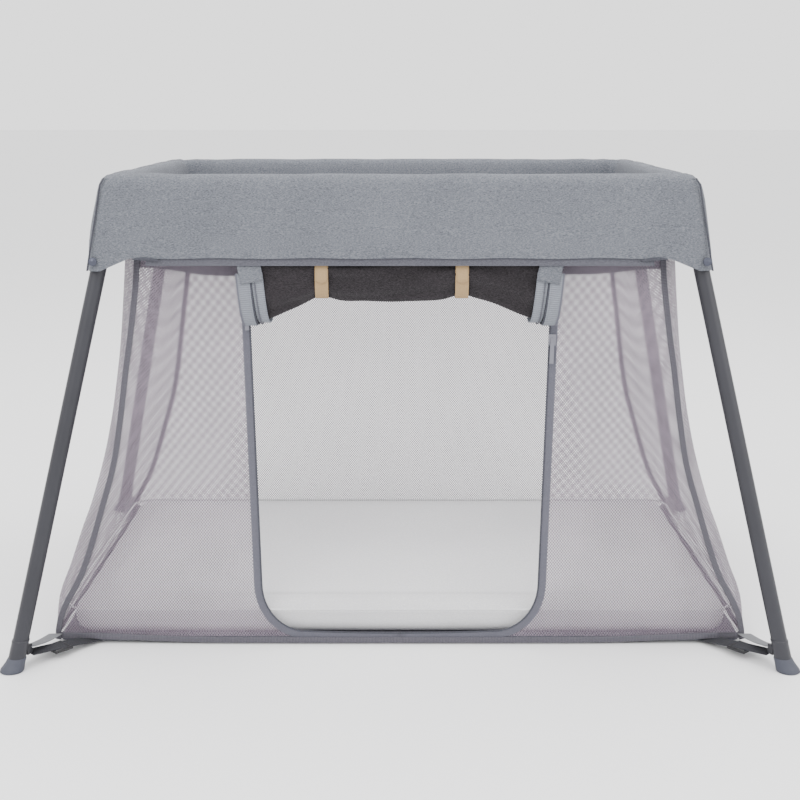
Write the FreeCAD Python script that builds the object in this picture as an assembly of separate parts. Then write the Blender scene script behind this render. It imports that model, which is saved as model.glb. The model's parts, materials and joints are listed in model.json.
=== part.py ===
import FreeCAD, Part
import math
import os

# Folding travel playpen with mesh walls, four splayed legs and a zipped door.
# Millimetres. X runs along the long sides, Y across, Z up.
# The origin is on the floor, under the middle of the playpen.
# Side signs: sx is -1 for the left end and +1 for the right end,
# sy is -1 for the front side with the door and +1 for the rear side.

V = FreeCAD.Vector

# ---------------------------------------------------------------- top frame
RAIL_Z = 667.0              # height of the rail axes
LONG_RAIL_Y = 263.0         # long rails, distance from the middle
END_RAIL_X = 395.0          # end rails, distance from the middle
TUBE_R = 11.0               # outer radius of every tube
TUBE_WALL = 1.5
SOCKET_WALL = 3.0           # moulding round the end of a tube
FITTING_HALF = TUBE_R + SOCKET_WALL     # half width and half height of the moulded fittings
KNUCKLE_R = TUBE_R + 1.0    # round ends of tongues and ears
HUB_REACH = 25.0            # from an end rail to the pivots of the long rails
FOLD_PIVOT_X = END_RAIL_X - HUB_REACH
CENTRE_DROP = FITTING_HALF + 1.0        # the centre hinges lie this far below the rail axes
TONGUE_HALF = 5.0           # half thickness of the rail tongues
PIN_R = 3.0
RUNNING_GAP = 0.05          # radial gap of a pin in its bore
SIDE_GAP = 0.3              # gap between faces that move past each other
SEAT_GAP = 0.05             # radial gap of a tube in its socket
OPEN_PIVOT_GAP = 0.3        # radial gap of the last pivot closed when the frame is built
SOCKET_LENGTH = 26.0        # length of tube held in a fitting
CENTRE_FITTING = 66.0       # length of each half of a centre hinge
CENTRE_SOCKET = 36.0        # length of tube held in a centre hinge
RAIL_NECK = KNUCKLE_R + 4.0     # from the fold pivot to the rail's end fitting

# ---------------------------------------------------------------- legs
LEG_DROP = 41.0             # leg pivots, below the rail axes
LEG_PIVOT_X = END_RAIL_X + FITTING_HALF
LEG_PIVOT_Y = LONG_RAIL_Y - 1.0
LEG_PIVOT_Z = RAIL_Z - LEG_DROP
LEG_SPLAY_X = 136.0         # how far the legs spread on their way down
LEG_SPLAY_Y = 128.0
FOOT_X = LEG_PIVOT_X + LEG_SPLAY_X      # where the leg axis meets the floor
FOOT_Y = LEG_PIVOT_Y + LEG_SPLAY_Y
LEG_SKEW = math.radians(3.2)    # front legs fold outboard, rear legs inboard
LEG_TONGUE_HALF = 4.5
LEG_EAR = 4.5               # thickness of the hub's leg ears
LEG_NECK = KNUCKLE_R + 2.0  # from the leg pivot to the leg's collar
LEG_COLLAR = 8.0
PLUG_LENGTH = 38.0
FOOT_HEIGHT = 62.0          # length of the boot along the leg
FOOT_TOP_R = TUBE_R + 2.5
FOOT_BOTTOM_R = FOOT_TOP_R + 3.5
FOOT_SOLE = 12.0            # rubber under the tube's end
NUB_REACH = 24.0            # strap nub, from the leg axis
NUB_WIDTH = 12.0
NUB_Z = 27.0

# ---------------------------------------------------------------- buttons
BUTTON_R = 6.0
BUTTON_TRAVEL = 3.5
BUTTON_PROUD = 4.0          # how far a centre button stands out
CENTRE_BUTTON_X = KNUCKLE_R + 10.0      # centre buttons, from the middle
LEG_BUTTON_R = 5.0
LEG_BUTTON_RISE = 14.0      # leg buttons, above the leg's knuckle

# ---------------------------------------------------------------- covers
FABRIC = 2.0                # mesh walls as solid sheets
COVER = 2.5                 # padded rail covers
COVER_ROOM = 3.0            # padding between the covers and the fittings
COVER_DEPTH = 121.5         # how far the covers hang down
COVER_TOP = RAIL_Z + FITTING_HALF + COVER_ROOM + COVER
COVER_HEM = COVER_TOP - COVER_DEPTH
END_HEM = COVER_HEM - 5.0
INNER_HEM = COVER_HEM - 15.0
COVER_REF_Z = RAIL_Z + 11.0
COVER_Y = LONG_RAIL_Y + FITTING_HALF + 8.0      # outer face of the side covers at COVER_REF_Z
COVER_X = END_RAIL_X + FITTING_HALF + 12.0      # outer face of the end covers at COVER_REF_Z
COVER_SLOPE_Y = 0.133
COVER_SLOPE_X = 0.168
SPLIT_GAP = 0.3             # between the two halves of a cover or of the front wall
STUD_R = 6.0
STUD_X = END_RAIL_X + 32.0
STUD_Z = COVER_HEM + 3.0

# ---------------------------------------------------------------- walls
WALL_Y_TOP = LONG_RAIL_Y - FITTING_HALF + 6.0      # side walls at WALL_REF_Z
WALL_REF_Z = COVER_HEM - 6.4
WALL_SLOPE_Y = 0.0662
WALL_TOP = RAIL_Z - CENTRE_DROP - KNUCKLE_R - 8.0
WALL_BOTTOM = 4.0
# The end walls' line: distance out from the end rails, share of the height up to the rails.
END_LINE = [(117.0, 0.0), (92.0, 0.145), (56.0, 0.296), (23.0, 0.492), (-2.0, 0.748), (-12.0, 0.861), (-20.0, 1.035)]
END_CURVE = [(END_RAIL_X + out, WALL_BOTTOM + (RAIL_Z - WALL_BOTTOM) * up) for out, up in END_LINE]

# ---------------------------------------------------------------- door
ZIP_WIDTH = 9.0
ZIP_THICK = 2.0
DOOR_HALF_TOP = 226.0
DOOR_LEAN = 14.0            # how much narrower the door is where its lower corners begin
DOOR_CORNER_WIDTH = 72.0
DOOR_CORNER_HEIGHT = 80.0
DOOR_BOTTOM = 12.0
DOOR_HALF_LOW = DOOR_HALF_TOP - DOOR_LEAN
DOOR_LOW_Z = DOOR_BOTTOM + DOOR_CORNER_HEIGHT
DOOR_CORNER_X = DOOR_HALF_LOW - DOOR_CORNER_WIDTH
DOOR_TOP = COVER_HEM + 10.0
ROLL_RY = 14.0
ROLL_RZ = 28.0
ROLL_HALF = DOOR_HALF_TOP + 6.0
ROLL_Z = COVER_HEM - 24.0
ROLL_Y = WALL_Y_TOP + FABRIC + ZIP_THICK + ROLL_RY + 2.5
LEFT_SLIDER_Z = ROLL_Z - ROLL_RZ - 13.0
RIGHT_SLIDER_Z = LEFT_SLIDER_Z - 48.0   # the sliders pass each other when the frame folds
TIE_WIDTH = 19.0
TIE_THICK = 1.6
TIE_X = (-110.0, 87.0)

# ---------------------------------------------------------------- base
BASE_THICK = 6.0
BASE_INSET = 3.0            # the end walls lean in over the base's edge
MATTRESS_THICK = 49.7
MATTRESS_CORNER = 50.0
MATTRESS_X = END_CURVE[0][0] - 22.0
MATTRESS_Z = WALL_BOTTOM + BASE_THICK + SIDE_GAP
MATTRESS_TOP = MATTRESS_Z + MATTRESS_THICK
MATTRESS_GAP = 3.0          # between the mattress and the side walls
STRAP_WIDTH = 25.0
STRAP_THICK = 2.0
STRAP_Z = 16.0              # height of the strap's end at the base corner


# ---------------------------------------------------------------- helpers
def box(x0, x1, y0, y1, z0, z1):
    """A box between two corners given in any order."""
    size = (abs(x1 - x0), abs(y1 - y0), abs(z1 - z0))
    return Part.makeBox(*size, V(min(x0, x1), min(y0, y1), min(z0, z1)))


def rod(start, end, radius):
    """A round bar between two points."""
    along = end - start
    return Part.makeCylinder(radius, along.Length, start, along)


def tube(start, end):
    """A frame tube between two points."""
    return rod(start, end, TUBE_R).cut(rod(start, end, TUBE_R - TUBE_WALL))


def local_block(origin, e1, e2, e3, span1, span2, span3):
    """A block with its sides along three perpendicular directions."""
    size = (span1[1] - span1[0], span2[1] - span2[0], span3[1] - span3[0])
    block = Part.makeBox(*size)
    corner = origin + e1 * span1[0] + e2 * span2[0] + e3 * span3[0]
    block.transformShape(FreeCAD.Matrix(e1.x, e2.x, e3.x, corner.x,
                                        e1.y, e2.y, e3.y, corner.y,
                                        e1.z, e2.z, e3.z, corner.z,
                                        0, 0, 0, 1))
    return block


def prism_x(points, x0, x1):
    """A Y-Z outline carried along X."""
    ring = [V(x0, y, z) for y, z in points]
    return Part.Face(Part.makePolygon(ring + ring[:1])).extrude(V(x1 - x0, 0, 0))


def frustum(x_low, x_high, y_low, y_high, z0, z1):
    """A block whose X and Y limits are functions of height."""
    rings = []
    for z in (z0, z1):
        ring = [V(x_low(z), y_low(z), z), V(x_high(z), y_low(z), z),
                V(x_high(z), y_high(z), z), V(x_low(z), y_high(z), z)]
        rings.append(Part.makePolygon(ring + ring[:1]))
    return Part.makeLoft(rings, True, True)


def fuse(first, *others):
    return first.fuse(list(others)).removeSplitter()


def save(name, *solids):
    """Write one node, as one solid or a group of separate solids."""
    shape = solids[0] if len(solids) == 1 else Part.makeCompound(list(solids))
    shape.exportStep("parts/" + name + ".step")


def side_names(sx, sy):
    return ("front" if sy < 0 else "rear") + ("_left" if sx < 0 else "_right")


def cover_y(z):
    return COVER_Y + COVER_SLOPE_Y * (COVER_REF_Z - z)


def cover_x(z):
    return COVER_X + COVER_SLOPE_X * (COVER_REF_Z - z)


def wall_y(z):
    return WALL_Y_TOP + WALL_SLOPE_Y * (WALL_REF_Z - z)


# ---------------------------------------------------------------- leg geometry
def leg_lines(sx, sy):
    """Pivot, standing direction, hinge axis and foot point of one leg."""
    pivot = V(sx * LEG_PIVOT_X, sy * LEG_PIVOT_Y, LEG_PIVOT_Z)
    foot = V(sx * FOOT_X, sy * FOOT_Y, 0)
    down = (foot - pivot).normalize()
    tilt = math.atan2(FOOT_X - LEG_PIVOT_X, LEG_PIVOT_Z)
    outboard = V(sx * math.cos(tilt), 0, math.sin(tilt))
    lane = 1 if sy < 0 else -1
    folded = V(0, -sy, 0) * math.cos(LEG_SKEW) + outboard * (lane * math.sin(LEG_SKEW))
    axis = down.cross(folded).normalize()
    return pivot, down, axis, foot


def upright(axis):
    """The direction square to an axis that points most nearly up."""
    up = V(0, 0, 1)
    return (up - axis * up.dot(axis)).normalize()


# ---------------------------------------------------------------- frame pieces
def hub(sx, sy):
    """Corner hub: sockets the end rail, forks the long rail and the leg."""
    half = FITTING_HALF
    y = sy * LONG_RAIL_Y
    inner = y - sy * half
    outer = y + sy * half
    low, high = RAIL_Z - half, RAIL_Z + half
    face = FOLD_PIVOT_X + KNUCKLE_R + 2
    core = box(sx * (END_RAIL_X + half), sx * face, inner, outer, low, high)
    socket_end = inner - sy * SOCKET_LENGTH
    socket = box(sx * (END_RAIL_X + half), sx * (END_RAIL_X - half), inner, socket_end, low, high)
    ears = []
    for a, b in ((inner, y - sy * (TONGUE_HALF + SIDE_GAP)), (y + sy * (TONGUE_HALF + SIDE_GAP), outer)):
        lo, hi = min(a, b), max(a, b)
        centre = V(sx * FOLD_PIVOT_X, lo, RAIL_Z)
        ears.append(Part.makeCylinder(KNUCKLE_R, hi - lo, centre, V(0, 1, 0)))
        ears.append(box(sx * FOLD_PIVOT_X, sx * face, lo, hi, RAIL_Z - KNUCKLE_R, RAIL_Z + KNUCKLE_R))
    pivot, down, axis, foot = leg_lines(sx, sy)
    up = upright(axis)
    across = up.cross(axis)
    leg_gap = LEG_TONGUE_HALF + SIDE_GAP
    lugs = []
    for a in (leg_gap, -leg_gap - LEG_EAR):
        lugs.append(Part.makeCylinder(KNUCKLE_R, LEG_EAR, pivot + axis * a, axis))
        arm = (0, RAIL_Z - LEG_PIVOT_Z)
        lugs.append(local_block(pivot, axis, across, up, (a, a + LEG_EAR), (-KNUCKLE_R, KNUCKLE_R), arm))
    bridge = (KNUCKLE_R + 4, RAIL_Z - LEG_PIVOT_Z)
    reach = leg_gap + LEG_EAR
    lugs.append(local_block(pivot, axis, across, up, (-reach, reach), (-KNUCKLE_R, KNUCKLE_R), bridge))
    body = fuse(core, socket, *(ears + lugs))
    tube_end = V(sx * END_RAIL_X, inner, RAIL_Z)
    body = body.cut(rod(tube_end, V(sx * END_RAIL_X, socket_end, RAIL_Z), TUBE_R + SEAT_GAP))
    bore_r = PIN_R + RUNNING_GAP
    body = body.cut(rod(V(sx * FOLD_PIVOT_X, inner - sy, RAIL_Z), V(sx * FOLD_PIVOT_X, outer + sy, RAIL_Z), bore_r))
    body = body.cut(rod(pivot - axis * (reach + 1), pivot + axis * (reach + 1), bore_r))
    body = body.cut(button_pocket(sx, sy))
    return body


def outboard_axis(sx, sy):
    """The leg's hinge axis, turned to point away from the playpen."""
    pivot, down, axis, foot = leg_lines(sx, sy)
    return axis if axis.x * sx > 0 else axis * -1


def button_spot(sx, sy):
    """Middle of the leg button's bore, inside the bridge above the leg pivot."""
    pivot, down, axis, foot = leg_lines(sx, sy)
    return pivot + upright(axis) * (KNUCKLE_R + LEG_BUTTON_RISE)


def button_pocket(sx, sy):
    out = outboard_axis(sx, sy)
    reach = LEG_TONGUE_HALF + SIDE_GAP + LEG_EAR
    spot = button_spot(sx, sy)
    return rod(spot - out * (reach - LEG_EAR), spot + out * (reach + 1), LEG_BUTTON_R + SIDE_GAP)


def leg_button(sx, sy):
    """Release button that is pressed inwards along the leg's hinge axis."""
    out = outboard_axis(sx, sy)
    reach = LEG_TONGUE_HALF + SIDE_GAP + LEG_EAR
    spot = button_spot(sx, sy)
    start = spot - out * (reach - LEG_EAR - BUTTON_TRAVEL - SIDE_GAP)
    return rod(start, spot + out * (reach + BUTTON_TRAVEL), LEG_BUTTON_R)


def end_pins(sx):
    """Rail pins and leg pins of one end."""
    pins = []
    for sy in (-1, 1):
        y0 = sy * LONG_RAIL_Y - FITTING_HALF
        pins.append(Part.makeCylinder(PIN_R, 2 * FITTING_HALF, V(sx * FOLD_PIVOT_X, y0, RAIL_Z), V(0, 1, 0)))
        pivot, down, axis, foot = leg_lines(sx, sy)
        reach = LEG_TONGUE_HALF + SIDE_GAP + LEG_EAR
        pins.append(rod(pivot - axis * reach, pivot + axis * reach, PIN_R))
    return pins


def rail_tongue(sx, sy):
    """Fitting at the hub end of a half rail."""
    y = sy * LONG_RAIL_Y
    pivot_x = sx * FOLD_PIVOT_X
    near = sx * (FOLD_PIVOT_X - RAIL_NECK)
    far = near - sx * SOCKET_LENGTH
    half = FITTING_HALF
    disc = Part.makeCylinder(KNUCKLE_R, 2 * TONGUE_HALF, V(pivot_x, y - TONGUE_HALF, RAIL_Z), V(0, 1, 0))
    neck = box(pivot_x, near, y - TONGUE_HALF, y + TONGUE_HALF, RAIL_Z - KNUCKLE_R, RAIL_Z + KNUCKLE_R)
    block = box(near, far, y - half, y + half, RAIL_Z - half, RAIL_Z + half)
    body = fuse(disc, neck, block)
    body = body.cut(rod(V(near - sx * 4, y, RAIL_Z), V(far, y, RAIL_Z), TUBE_R + SEAT_GAP))
    play = OPEN_PIVOT_GAP if sx > 0 and sy > 0 else RUNNING_GAP
    bore = Part.makeCylinder(PIN_R + play, 2 * half, V(pivot_x, y - half, RAIL_Z), V(0, 1, 0))
    return body.cut(bore)


def half_rail(sx, sy):
    y = sy * LONG_RAIL_Y
    outer = sx * (FOLD_PIVOT_X - RAIL_NECK - 4)
    inner = sx * (CENTRE_FITTING - CENTRE_SOCKET)
    return tube(V(outer, y, RAIL_Z), V(inner, y, RAIL_Z))


def centre_hinge(sx, sy):
    """Half of a centre hinge. The left half is the fork, the right half the tongue."""
    y = sy * LONG_RAIL_Y
    half = FITTING_HALF
    axis_z = RAIL_Z - CENTRE_DROP
    low, high = axis_z + 1, RAIL_Z + half
    block = box(sx * SPLIT_GAP, sx * CENTRE_FITTING, y - half, y + half, low, high)
    slot = TONGUE_HALF + SIDE_GAP
    forks = [(y - half, y - slot), (y + slot, y + half)]
    tongue = [(y - TONGUE_HALF, y + TONGUE_HALF)]
    own, other = (forks, [(y - slot, y + slot)]) if sx < 0 else (tongue, [(y - half, y - TONGUE_HALF),
                                                                       (y + TONGUE_HALF, y + half)])
    for y0, y1 in other:
        block = block.cut(Part.makeCylinder(KNUCKLE_R + SIDE_GAP, y1 - y0, V(0, y0, axis_z), V(0, 1, 0)))
    discs = []
    for y0, y1 in own:
        discs.append(Part.makeCylinder(KNUCKLE_R, y1 - y0, V(0, y0, axis_z), V(0, 1, 0)))
        discs.append(box(0, sx * 2 * KNUCKLE_R, y0, y1, low, axis_z + KNUCKLE_R))
    body = fuse(block, *discs)
    seat = V(sx * (CENTRE_FITTING - CENTRE_SOCKET), y, RAIL_Z)
    body = body.cut(rod(seat, V(sx * CENTRE_FITTING, y, RAIL_Z), TUBE_R + SEAT_GAP))
    bore = Part.makeCylinder(PIN_R + RUNNING_GAP, 2 * half, V(0, y - half, axis_z), V(0, 1, 0))
    body = body.cut(bore)
    if sx < 0:
        pocket = centre_button_bar(sy, SIDE_GAP, low - 1, low + 12)
        body = body.cut(pocket)
    return body


def centre_button_bar(sy, grow, z0, z1):
    spot = V(-CENTRE_BUTTON_X, sy * LONG_RAIL_Y, z0)
    return Part.makeCylinder(BUTTON_R + grow, z1 - z0, spot, V(0, 0, 1))


def centre_button(sy):
    """Release button that is pressed up into the centre hinge."""
    low = RAIL_Z - CENTRE_DROP + 1
    return centre_button_bar(sy, 0, low - BUTTON_PROUD, low + 12 - BUTTON_TRAVEL - SIDE_GAP)


def centre_pin(sy):
    start = V(0, sy * LONG_RAIL_Y - FITTING_HALF, RAIL_Z - CENTRE_DROP)
    return Part.makeCylinder(PIN_R, 2 * FITTING_HALF, start, V(0, 1, 0))


def end_rail(sx):
    y = LONG_RAIL_Y - FITTING_HALF
    return tube(V(sx * END_RAIL_X, -y, RAIL_Z), V(sx * END_RAIL_X, y, RAIL_Z))


# ---------------------------------------------------------------- leg pieces
def leg_knuckle(sx, sy):
    """Moulded tongue at the leg's top, plugged into the tube."""
    pivot, down, axis, foot = leg_lines(sx, sy)
    across = down.cross(axis)
    half = LEG_TONGUE_HALF
    disc = Part.makeCylinder(KNUCKLE_R, 2 * half, pivot - axis * half, axis)
    neck = local_block(pivot, axis, across, down, (-half, half), (-KNUCKLE_R + 2, KNUCKLE_R - 2), (0, LEG_NECK + 2))
    collar = rod(pivot + down * LEG_NECK, pivot + down * (LEG_NECK + LEG_COLLAR), TUBE_R)
    top = LEG_NECK + LEG_COLLAR
    plug = rod(pivot + down * top, pivot + down * (top + PLUG_LENGTH), TUBE_R - TUBE_WALL)
    body = fuse(disc, neck, collar, plug)
    return body.cut(rod(pivot - axis * TUBE_R, pivot + axis * TUBE_R, PIN_R + RUNNING_GAP))


def leg_tube(sx, sy):
    pivot, down, axis, foot = leg_lines(sx, sy)
    return tube(pivot + down * (LEG_NECK + LEG_COLLAR), foot - down * FOOT_SOLE)


def nub_direction(sx, sy):
    """From the leg at nub height towards the corner of the base."""
    pivot, down, axis, foot = leg_lines(sx, sy)
    start = foot - down * (NUB_Z / -down.z)
    corner = V(sx * (END_CURVE[0][0] + FABRIC), sy * (wall_y(STRAP_Z) + FABRIC), STRAP_Z)
    return start, (corner - start).normalize(), (corner - start).Length


def foot_boot(sx, sy):
    """Flared boot with a flat sole and a nub for the strap."""
    pivot, down, axis, foot = leg_lines(sx, sy)
    top = foot - down * FOOT_HEIGHT
    spread = (FOOT_BOTTOM_R - FOOT_TOP_R) / FOOT_HEIGHT
    length = FOOT_HEIGHT + FOOT_SOLE
    boot = Part.makeCone(FOOT_TOP_R, FOOT_TOP_R + spread * length, length, top, down)
    start, along, span = nub_direction(sx, sy)
    side = V(0, 0, 1).cross(along).normalize()
    rise = along.cross(side)
    half = NUB_WIDTH / 2
    nub = local_block(start, along, side, rise, (0, NUB_REACH), (-half / 2, half / 2), (-half, half))
    boot = fuse(boot, nub)
    boot = boot.cut(rod(top - down, foot - down * FOOT_SOLE, TUBE_R + SEAT_GAP))
    floor = box(foot.x - 60, foot.x + 60, foot.y - 60, foot.y + 60, -60, 0)
    return boot.cut(floor)


def foot_strap(sx, sy):
    start, along, span = nub_direction(sx, sy)
    side = V(0, 0, 1).cross(along).normalize()
    rise = along.cross(side)
    half = STRAP_WIDTH / 2
    strap = local_block(start, along, side, rise, (NUB_REACH + SIDE_GAP, span - SIDE_GAP),
                        (-STRAP_THICK / 2, STRAP_THICK / 2), (-half, half))
    return strap.cut(box(start.x - 200, start.x + 200, start.y - 200, start.y + 200, -60, 2))


def strap_buckle(sx, sy):
    """Ladder-lock buckle round the strap."""
    start, along, span = nub_direction(sx, sy)
    side = V(0, 0, 1).cross(along).normalize()
    rise = along.cross(side)
    half = STRAP_WIDTH / 2
    middle = NUB_REACH + 14
    outer = local_block(start, along, side, rise, (middle - 11, middle + 11), (-4, 4), (-half - 2, half + 4))
    slot = STRAP_THICK / 2 + SIDE_GAP
    inner = local_block(start, along, side, rise, (middle - 20, middle + 20), (-slot, slot), (-half - 1, half + 1))
    return outer.cut(inner)


# ---------------------------------------------------------------- covers
def rail_cover(sx, sy):
    """Half of a long rail's cover: an upside-down channel."""
    skin = FABRIC / 2 + SIDE_GAP
    outline = [(cover_y(COVER_HEM), COVER_HEM), (cover_y(COVER_TOP), COVER_TOP),
               (wall_y(COVER_TOP) - skin - COVER, COVER_TOP), (wall_y(INNER_HEM) - skin - COVER, INNER_HEM),
               (wall_y(INNER_HEM) - skin, INNER_HEM), (wall_y(COVER_TOP - COVER) - skin, COVER_TOP - COVER),
               (cover_y(COVER_TOP - COVER) - COVER, COVER_TOP - COVER), (cover_y(COVER_HEM) - COVER, COVER_HEM)]
    return prism_x([(sy * y, z) for y, z in outline], sx * SPLIT_GAP / 2, sx * (FOLD_PIVOT_X - SPLIT_GAP))


def end_curve_wire(offset, sx, z_low, z_high):
    """The end wall's line in the X-Z plane, moved along X and cut to two heights."""
    curve = Part.BSplineCurve()
    curve.interpolate([V(sx * (x + offset), 0, z) for x, z in END_CURVE])
    low = curve.intersectCC(Part.LineSegment(V(sx * 200, 0, z_low), V(sx * 700, 0, z_low)))
    high = curve.intersectCC(Part.LineSegment(V(sx * 200, 0, z_high), V(sx * 700, 0, z_high)))
    start = curve.parameter(V(low[0].X, 0, low[0].Z)) if low else curve.FirstParameter
    end = curve.parameter(V(high[0].X, 0, high[0].Z)) if high else curve.LastParameter
    return curve.toShape(start, end)


def end_band(sx, inner, outer, z_low, z_high, y_half):
    """A sheet that follows the end wall's line, between two offsets from it."""
    first = end_curve_wire(inner, sx, z_low, z_high)
    second = end_curve_wire(outer, sx, z_low, z_high)
    a0, a1 = first.valueAt(first.FirstParameter), first.valueAt(first.LastParameter)
    b0, b1 = second.valueAt(second.FirstParameter), second.valueAt(second.LastParameter)
    ring = Part.Wire(Part.sortEdges([first, Part.makeLine(a1, b1), second, Part.makeLine(b0, a0)])[0])
    band = Part.Face(ring).extrude(V(0, 2 * y_half, 0))
    band.translate(V(0, -y_half, 0))
    return band


def end_cover(sx):
    """Cover of an end rail, with the returns that wrap round the corners."""
    inner_x = FOLD_PIVOT_X

    def x_near(z):
        return sx * inner_x

    def x_past(z):
        return sx * (inner_x - 5)

    def x_face(z):
        return sx * cover_x(z)

    def x_lining(z):
        return sx * (cover_x(z) - COVER)

    shell = frustum(x_near, x_face, lambda z: -cover_y(z), cover_y, END_HEM, COVER_TOP)
    room = frustum(x_past, x_lining, lambda z: COVER - cover_y(z), lambda z: cover_y(z) - COVER,
                   END_HEM - 5, COVER_TOP - COVER)
    skin = FABRIC / 2 + SIDE_GAP
    lining = end_band(sx, -skin - COVER, -skin, INNER_HEM, COVER_TOP - COVER / 2,
                      wall_y(INNER_HEM) - 2 * COVER - 15)
    return fuse(shell.cut(room), lining)


def studs(sx):
    """Press studs on the two corner flaps of one end."""
    discs = []
    for sy in (-1, 1):
        out = V(0, sy, COVER_SLOPE_Y).normalize()
        face = V(sx * STUD_X, sy * cover_y(STUD_Z), STUD_Z)
        discs.append(Part.makeCylinder(STUD_R, 2.0, face, out))
    return discs


# ---------------------------------------------------------------- walls
def trapezoid(reduce_by):
    """The space between the side walls, as a block over the whole length."""
    def half(z):
        return wall_y(z) - reduce_by

    return frustum(lambda z: -700.0, lambda z: 700.0, lambda z: -half(z), half, WALL_BOTTOM - 10, COVER_TOP + 10)


def end_wall(sx):
    band = end_band(sx, -FABRIC / 2, FABRIC / 2, WALL_BOTTOM + 1, WALL_TOP, 320.0)
    return band.common(trapezoid(FABRIC / 2 + SIDE_GAP))


def side_sheet(sy, thick_in, thick_out, z0=WALL_BOTTOM, z1=WALL_TOP):
    """The whole plane of a side wall as a sheet wider than the wall."""
    outline = [(sy * (wall_y(z0) - thick_in), z0), (sy * (wall_y(z0) + thick_out), z0),
               (sy * (wall_y(z1) + thick_out), z1), (sy * (wall_y(z1) - thick_in), z1)]
    return prism_x(outline, -600, 600)


def wall_outline(sx, x_inner):
    """X-Z outline of half a side wall, as a prism across the playpen."""
    edge = end_curve_wire(FABRIC / 2, sx, WALL_BOTTOM + 1, WALL_TOP)
    bottom, top = edge.valueAt(edge.FirstParameter), edge.valueAt(edge.LastParameter)
    near0, near1 = V(x_inner, 0, bottom.z), V(x_inner, 0, top.z)
    ring = Part.Wire(Part.sortEdges([edge, Part.makeLine(top, near1), Part.makeLine(near1, near0),
                                     Part.makeLine(near0, bottom)])[0])
    face = Part.Face(ring).extrude(V(0, 700, 0))
    face.translate(V(0, -350, 0))
    return face


def door_wire(inset, z_top):
    """The door's U outline in the X-Z plane."""
    top, low, corner = DOOR_HALF_TOP - inset, DOOR_HALF_LOW - inset, DOOR_CORNER_X
    bottom = DOOR_BOTTOM + inset
    lean = DOOR_LEAN / (DOOR_TOP - DOOR_LOW_Z)
    x_top = top + lean * (z_top - DOOR_TOP)
    mid = V((corner + (low - corner) * 0.74), 0, bottom + (DOOR_LOW_Z - bottom) * 0.24)
    edges = []
    for s in (-1, 1):
        edges.append(Part.makeLine(V(s * x_top, 0, z_top), V(s * low, 0, DOOR_LOW_Z)))
        arc = Part.Arc(V(s * low, 0, DOOR_LOW_Z), V(s * mid.x, 0, mid.z), V(s * corner, 0, bottom))
        edges.append(arc.toShape())
    edges.append(Part.makeLine(V(-corner, 0, bottom), V(corner, 0, bottom)))
    edges.append(Part.makeLine(V(-x_top, 0, z_top), V(x_top, 0, z_top)))
    return Part.Wire(Part.sortEdges(edges)[0])


def door_prism(inset, z_top):
    prism = Part.Face(door_wire(inset, z_top)).extrude(V(0, 400, 0))
    prism.translate(V(0, -450, 0))
    return prism


def front_wall(sx):
    outline = wall_outline(sx, sx * SPLIT_GAP / 2)
    sheet = side_sheet(-1, FABRIC / 2, FABRIC / 2).common(outline)
    return sheet.cut(door_prism(0, DOOR_TOP))


def rear_wall():
    sheet = side_sheet(1, FABRIC / 2, FABRIC / 2)
    return sheet.common(fuse(wall_outline(-1, 0.0), wall_outline(1, 0.0)))


def zip_tape():
    band = door_prism(SIDE_GAP, DOOR_TOP - SIDE_GAP).cut(door_prism(ZIP_WIDTH, DOOR_TOP + 20))
    sheet = side_sheet(-1, ZIP_THICK / 2, ZIP_THICK / 2)
    return band.common(sheet)


def zip_slider(sx):
    """Slider that rides on one straight run of the zip."""
    z = LEFT_SLIDER_Z if sx < 0 else RIGHT_SLIDER_Z
    lean = DOOR_LEAN / (DOOR_TOP - DOOR_LOW_Z)
    x = DOOR_HALF_TOP - ZIP_WIDTH / 2 + lean * (z - DOOR_TOP)
    centre = V(sx * x, -wall_y(z), z)
    along = V(sx * lean, WALL_SLOPE_Y, 1).normalize()
    out = V(0, -1, -WALL_SLOPE_Y).normalize()
    side = out.cross(along).normalize()
    out = along.cross(side)
    base = ZIP_THICK / 2 + SIDE_GAP
    plate = local_block(centre, side, out, along, (-5.5, 5.5), (base, base + 2.5), (-8, 8))
    hook = local_block(centre, side, out, along, (-2, 2), (base + 2.5, base + 4.5), (-7, 3))
    tab = local_block(centre, side, out, along, (-3, 3), (base + 3.5, base + 5.5), (-34, -4))
    return fuse(plate, hook, tab)


def door_roll():
    """The door panel rolled up under the front rail."""
    ring = Part.Ellipse(V(0, 0, 0), ROLL_RZ, ROLL_RY)
    edge = ring.toShape()
    edge.rotate(V(0, 0, 0), V(0, 0, 1), 90)
    face = Part.Face(Part.Wire(edge))
    face.rotate(V(0, 0, 0), V(1, 0, 0), 90)
    face.rotate(V(0, 0, 0), V(0, 0, 1), 90)
    face.translate(V(-ROLL_HALF, -ROLL_Y, ROLL_Z))
    roll = face.extrude(V(2 * ROLL_HALF, 0, 0))
    skin = FABRIC / 2 + SIDE_GAP
    z0, z1 = ROLL_Z + ROLL_RZ * 0.55, DOOR_TOP + 25
    outline = [(-wall_y(z0) - skin, z0), (-wall_y(z0) - ROLL_RY, z0), (-wall_y(z1) - skin - FABRIC, z1),
               (-wall_y(z1) - skin, z1)]
    return fuse(roll, prism_x(outline, -ROLL_HALF + 18, ROLL_HALF - 18))


def door_ties():
    """Two straps that hold the roll up."""
    ties = []
    for x in TIE_X:
        y0, y1 = -ROLL_Y - ROLL_RY - SIDE_GAP, -ROLL_Y - ROLL_RY - SIDE_GAP - TIE_THICK
        z0 = ROLL_Z - ROLL_RZ - SIDE_GAP
        front = box(x - TIE_WIDTH / 2, x + TIE_WIDTH / 2, y0, y1, z0 - TIE_THICK, DOOR_TOP)
        under = box(x - TIE_WIDTH / 2, x + TIE_WIDTH / 2, y1, -ROLL_Y + ROLL_RY, z0, z0 - TIE_THICK)
        ties.append(fuse(front, under))
    return ties


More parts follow.
